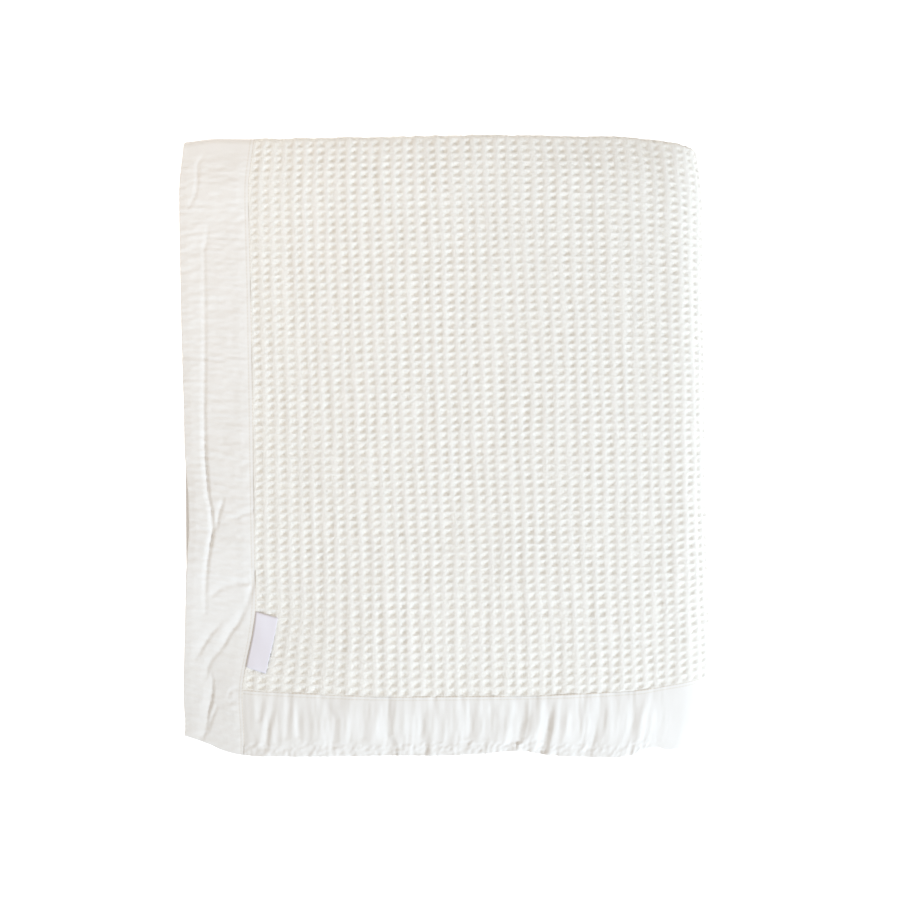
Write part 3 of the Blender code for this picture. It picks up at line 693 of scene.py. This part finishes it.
def make_waffle(face_material, back_material):
    """The waffle cloth as a closed sheet, and the relief of the cells where it shows, in two halves."""
    columns, rows = FACE_CELLS
    relief, u, v = cell_relief(columns, rows)
    u, v = BORDER_WIDTH + GAP + u * CELL_ACROSS, BORDER_WIDTH + GAP + v * CELL_ALONG
    end_u, end_v = u.max(), v.max()
    free = np.minimum((u - BORDER_WIDTH) / SEAM_EASE[0], (v - BORDER_WIDTH) / SEAM_EASE[1]).clip(0, 1)
    before_end = np.minimum((end_u - u) / END_EASE[0], (end_v - v) / END_EASE[1]).clip(0, 1)
    level = relief * before_end + WAFFLE_THICKNESS / 2 * (1 - before_end)
    level += YARN_RELIEF * yarn_unevenness(u, v)
    level = level * free + SEAM_LEVEL * (1 - free)
    strayed = (u + RIB_WANDER * rib_wander(u, v) * free, v + ROW_WANDER * row_wander(u, v) * free)
    points = folded(*strayed, level)
    normals = smooth_normals(points)
    flat = np.stack([u, v], axis=-1)
    faces = []
    middle = columns // 2 * len(ROWS_ACROSS)
    halves = {"waffle_face_left": slice(None, middle + 1), "waffle_face_right": slice(middle, None)}
    for name, part in halves.items():
        face = surface(name, points[part], flat[part], face_material)
        face.data.normals_split_custom_set_from_vertices(normals[part].reshape(-1, 3).tolist())
        faces.append(face)

    plain_rows = []
    rim = np.array(RIM_ROWS)
    for fold, turn_steps in ((WIDTH_FOLD, TURN_STEPS_ACROSS), (LENGTH_FOLD, TURN_STEPS_ALONG)):
        low, high = BORDER_WIDTH + rim, fold.length - BORDER_WIDTH - rim
        between = fold_rows(fold, low[0], high[0], PLAIN_STEP, turn_steps)
        plain_rows.append(np.union1d(between, np.concatenate([low, high]).round(6)))
    u, v = np.meshgrid(*plain_rows, indexing="ij")
    (before_u, over_u), (before_v, over_v) = SHEET_RISE
    under_face = np.clip((end_u - before_u - u) / over_u, 0, 1)
    under_face = under_face * np.clip((end_v - before_v - v) / over_v, 0, 1)
    over = folded(u, v, WAFFLE_THICKNESS / 2 - (WAFFLE_THICKNESS - SHEET_LEFT) * under_face)
    under = folded(u, v, 0 * u - WAFFLE_THICKNESS / 2)
    cloth = closed_sheet("waffle_cloth", over, under, np.stack([u, v], axis=-1), back_material)
    return cloth, faces


def make_label(material):
    """The blank label: a tape folded in half along its length, its two cut edges caught in the side seam."""
    turn = np.linspace(0, math.pi, LABEL_TURN_STEPS + 1)[1:-1]
    radius = LABEL_FOLD_RADIUS
    leaf = np.linspace(0, LABEL_WIDTH - radius, LABEL_POINTS)
    out = np.concatenate([leaf, LABEL_WIDTH - radius + radius * np.sin(turn), leaf[::-1]])
    up = np.concatenate([0 * leaf, radius * (1 - np.cos(turn)), 0 * leaf + 2 * radius])
    out, share = np.meshgrid(out, np.linspace(0, 1, LABEL_ROWS), indexing="ij")
    up = np.broadcast_to(up[:, None], out.shape)
    part_out = out / LABEL_WIDTH
    u = BORDER_WIDTH + LABEL_OUT + out * (1 - LABEL_NARROWING * (1 - share))
    v = LABEL_START + LABEL_LENGTH * share - LABEL_SAG * part_out
    bow = LABEL_LIFT * part_out + LABEL_BOW * np.sin(math.pi * share) * part_out
    bow += LABEL_WAVE * np.sin(9 * share + 5 * part_out)
    caught = np.exp(-((out / LABEL_HOLD) ** 2))
    base = WAFFLE_THICKNESS / 2 + LABEL_REST - LABEL_PRESS * caught
    middle = folded(u, v, base + up * (1 - LABEL_CLOSING * caught) + bow)
    label = surface("label_tape", middle, np.stack([u + up, v], axis=-1), material)
    solid = label.modifiers.new("tape", "SOLIDIFY")
    solid.thickness, solid.offset = LABEL_THICKNESS, 0.0
    return label


def linear(code):
    """An sRGB hex colour as linear light."""
    light = []
    for at in (0, 2, 4):
        part = int(code[at : at + 2], 16) / 255
        light.append(part / 12.92 if part <= 0.04045 else ((part + 0.055) / 1.055) ** 2.4)
    return (*light, 1.0)


def add_node(tree, kind, inputs=None, **settings):
    """A node of the tree, with its settings and its inputs' values. A value that is an output is linked."""
    node = tree.nodes.new(kind)
    for name, value in settings.items():
        setattr(node, name, value)
    for name, value in (inputs or {}).items():
        if isinstance(value, bpy.types.NodeSocket):
            tree.links.new(value, node.inputs[name])
        else:
            node.inputs[name].default_value = value
    return node


def woven_cloth(name, colour, shade, yarn, bump, pocket=None, flat_cells=False, roughness=0.95, thread_and_shade=None):
    """Undyed woven cloth. Short fibres make it matt, with a faint halo at grazing angles. Its yarns, this far
    apart, show as fine ridges, and its tone wanders a little from place to place. The pockets of a waffle
    weave are painted warmer and darker, as painted shade. A border's inner edge and the line beside it are
    sewn with a darker thread, drawn darker still as painted shade of the seam's groove and the stitches' dips."""
    material = bpy.data.materials.new(name)
    material.use_nodes = True
    tree = material.node_tree
    shader = tree.nodes["Principled BSDF"]
    place = add_node(tree, "ShaderNodeUVMap", uv_map="cloth").outputs["UV"]
    parts = add_node(tree, "ShaderNodeSeparateXYZ", {"Vector": place}).outputs

    def maths(operation, *values):
        return add_node(tree, "ShaderNodeMath", dict(enumerate(values)), operation=operation).outputs[0]

    def noise(scale, detail, at=place):
        values = {"Vector": at, "Scale": scale, "Detail": detail}
        return add_node(tree, "ShaderNodeTexNoise", values).outputs["Fac"]

    def mixed(factor, first, second):
        values = {"Factor": factor, "A": first, "B": second}
        return add_node(tree, "ShaderNodeMix", values, data_type="RGBA").outputs["Result"]

    def inside_pocket():
        """How far inside its cell's pocket a point is, from 0 on the ribs to 1. The cells' lines stray."""
        walls = []
        ways = ("X", CELL_ACROSS, 0.0, ROWS_ACROSS[1]), ("Y", CELL_ALONG, 5.0, ROWS_ALONG[1])
        for axis, pitch, shift, rib in ways:
            values = {0: place, 1: (shift, shift, 0.0)}
            moved = add_node(tree, "ShaderNodeVectorMath", values, operation="ADD").outputs[0]
            stray = maths("MULTIPLY_ADD", noise(WALL_BUMPS, 3.0, moved), WALL_STRAY, -WALL_STRAY / 2)
            turns = maths("MULTIPLY_ADD", parts[axis], 1 / pitch, 10 - BORDER_WIDTH / pitch)
            aside = maths("ABSOLUTE", maths("SUBTRACT", maths("FRACT", maths("ADD", turns, stray)), 0.5))
            walls.append(maths("DIVIDE", aside, 0.5 - rib))
        return maths("MAXIMUM", maths("SUBTRACT", 1.0, maths("MAXIMUM", *walls)), 0.0)

    tone = mixed(noise(TONE_PATCHES, 4.0), linear(colour), linear(shade))
    waves = [maths("SINE", maths("MULTIPLY", parts[axis], 2 * math.pi / yarn)) for axis in "XY"]
    crossings = maths("MULTIPLY", CROSSING_RELIEF, maths("MULTIPLY", *waves))
    height = maths("MULTIPLY_ADD", noise(FIBRES, 3.0), FIBRE_RELIEF, crossings)
    if pocket:
        inside = inside_pocket()
        flecks = maths("MULTIPLY_ADD", noise(FLECKS, 2.0), FLECK_CONTRAST, FLECK_LEVEL)
        # Painted shade: the pockets, and random flecks, turn towards the warmer, darker pocket colour.
        tone = mixed(maths("MULTIPLY_ADD", inside, POCKET_PAINTED_SHADE, flecks), tone, linear(pocket))
        height = maths("MULTIPLY_ADD", noise(TUFTS, 3.0), TUFT_RELIEF, height)
        depth = FLAT_POCKET_RELIEF if flat_cells else POCKET_RELIEF
        height = maths("MULTIPLY_ADD", inside, depth, height)
    # The darker thread at the seam and on the line of stitches, drawn darker still as painted shade of the
    # seam's groove and the stitches' dips.
    if thread_and_shade:
        strip = add_node(tree, "ShaderNodeUVMap", uv_map="strip").outputs["UV"]
        inset, length = add_node(tree, "ShaderNodeSeparateXYZ", {"Vector": strip}).outputs[:2]
        stitch = maths("SINE", maths("MULTIPLY", length, 2 * math.pi / STITCH_PITCH))
        for line, share in ((BORDER_WIDTH, SEAM_THREAD_AND_SHADE), (BORDER_WIDTH - STITCH_INSET, STITCH_THREAD_AND_SHADE)):
            strength = maths("MULTIPLY_ADD", stitch, STITCH_CONTRAST * share, share)
            on_line = maths("COMPARE", inset, line, THREAD_AND_SHADE_REACH)
            tone = mixed(maths("MULTIPLY", on_line, strength), tone, linear(thread_and_shade))
    tree.links.new(tone, shader.inputs["Base Color"])
    bumped = add_node(tree, "ShaderNodeBump", {"Height": height, "Strength": 0.6, "Distance": bump})
    tree.links.new(bumped.outputs["Normal"], shader.inputs["Normal"])
    shader.inputs["Roughness"].default_value = roughness
    shader.inputs["Specular IOR Level"].default_value = 0.3
    shader.inputs["Sheen Weight"].default_value = 0.25
    shader.inputs["Sheen Roughness"].default_value = 0.5
    return material


def make_stage():
    """A white table, a large cool lamp in front on the right, a small warm one above the left side, and a
    white room that fills the shadows."""
    mesh = bpy.data.meshes.new("floor")
    half = TABLE_HALF
    corners = [(-half, -half, 0), (half, -half, 0), (half, half, 0), (-half, half, 0)]
    mesh.from_pydata(corners, [], [(0, 1, 2, 3)])
    floor = bpy.data.objects.new("floor", mesh)
    bpy.context.scene.collection.objects.link(floor)
    # Matt white paint on a table that is lit from below, as a studio's is, which keeps its shadows faint
    paint = bpy.data.materials.new("table_white")
    paint.use_nodes = True
    shader = paint.node_tree.nodes["Principled BSDF"]
    shader.inputs["Base Color"].default_value = linear("FBFBFB")
    shader.inputs["Roughness"].default_value = 0.9
    shader.inputs["Specular IOR Level"].default_value = 0.2
    shader.inputs["Emission Color"].default_value = (1.0, 1.0, 1.0, 1.0)
    shader.inputs["Emission Strength"].default_value = 0.8
    mesh.materials.append(paint)

    # Rows: name, place, size, power, colour
    for name, place, size, power, tint in (
        ("key_lamp", (2.3, -2.2, 2.15), 0.8, 119.0, "E1F0FE"),
        ("warm_lamp", (-0.52, 0.44, 0.60), 0.4, 1.45, "FFF1E4"),
    ):
        lamp = bpy.data.lights.new(name, "AREA")
        lamp.shape, lamp.size, lamp.energy, lamp.color = "SQUARE", size, power, linear(tint)[:3]
        holder = bpy.data.objects.new(name, lamp)
        holder.location = place
        aim = np.array([0.0, 0.0, 0.05]) - np.array(place)
        holder.rotation_euler = (
            math.atan2(math.hypot(aim[0], aim[1]), -aim[2]),
            0.0,
            math.atan2(aim[1], aim[0]) - math.pi / 2,
        )
        holder.visible_camera = False
        bpy.context.scene.collection.objects.link(holder)

    world = bpy.data.worlds.new("room")
    world.use_nodes = True
    background = world.node_tree.nodes["Background"]
    background.inputs["Color"].default_value = linear("FFF9F0")
    background.inputs["Strength"].default_value = 0.56
    bpy.context.scene.world = world


def make_camera():
    lens = bpy.data.cameras.new("camera")
    lens.sensor_width = 36.0
    lens.lens = lens.sensor_width * CAMERA_HEIGHT / VIEW_WIDTH
    camera = bpy.data.objects.new("camera", lens)
    camera.location = (CAMERA_OFFSET[0], CAMERA_OFFSET[1], TOP_HEIGHT + CAMERA_HEIGHT)
    bpy.context.scene.collection.objects.link(camera)
    bpy.context.scene.camera = camera


def main():
    # Waffle weave cotton, of thick, softly spun yarns: rough, matt and nearly white. Such yarns are about
    # 0.5 mm apart, and are drawn twice as coarse to show.
    # Its last colour is painted shade, warmer and darker, laid into the pockets.
    weave = ("FFFDF9", "FCFAF5", 0.0011, 0.00060, "EEE8DB")
    waffle = woven_cloth("waffle_cotton", *weave)
    waffle_back = woven_cloth("waffle_cotton_inside", *weave, flat_cells=True)
    # Plain weave cotton, close and flat: smoother, and a little greyer beside the waffle. Its yarns, of about
    # 0.3 mm, are drawn twice as coarse too.
    plain_look = ("F0EEEC", "EAE8E5", 0.0007, 0.00010)
    # Its thread colour is a darker thread, and also painted shade in the seam and the stitch dips.
    plain = woven_cloth("border_cotton", *plain_look, roughness=0.9, thread_and_shade="C9B99C")
    # Satin woven tape: the smoothest and coolest white, with a soft gloss
    tape = woven_cloth("label_tape", "EEECF4", "EAE7F1", 0.0004, 0.00003, roughness=0.6)

    cloth, faces = make_waffle(waffle, waffle_back)
    borders = {}
    # Rows: node, whether it runs along a side, whether it starts on top
    for node, along_side, upper in (
        ("side_border_upper", True, True),
        ("side_border_lower", True, False),
        ("end_border_upper", False, True),
        ("end_border_lower", False, False),
    ):
        borders[node] = make_border(node, plain, along_side, upper)
    label = make_label(tape)
    for piece, node, slot in [
        (label, "label", "label_tape"),
        *[(piece, "waffle_panel", "waffle_cotton") for piece in (cloth, *faces)],
        *[(piece, node, "border_cotton") for node, piece in borders.items()],
    ]:
        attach(piece, "root")
        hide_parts(node)

    make_stage()
    make_camera()
    bpy.context.scene.view_settings.view_transform = "Standard"


main()
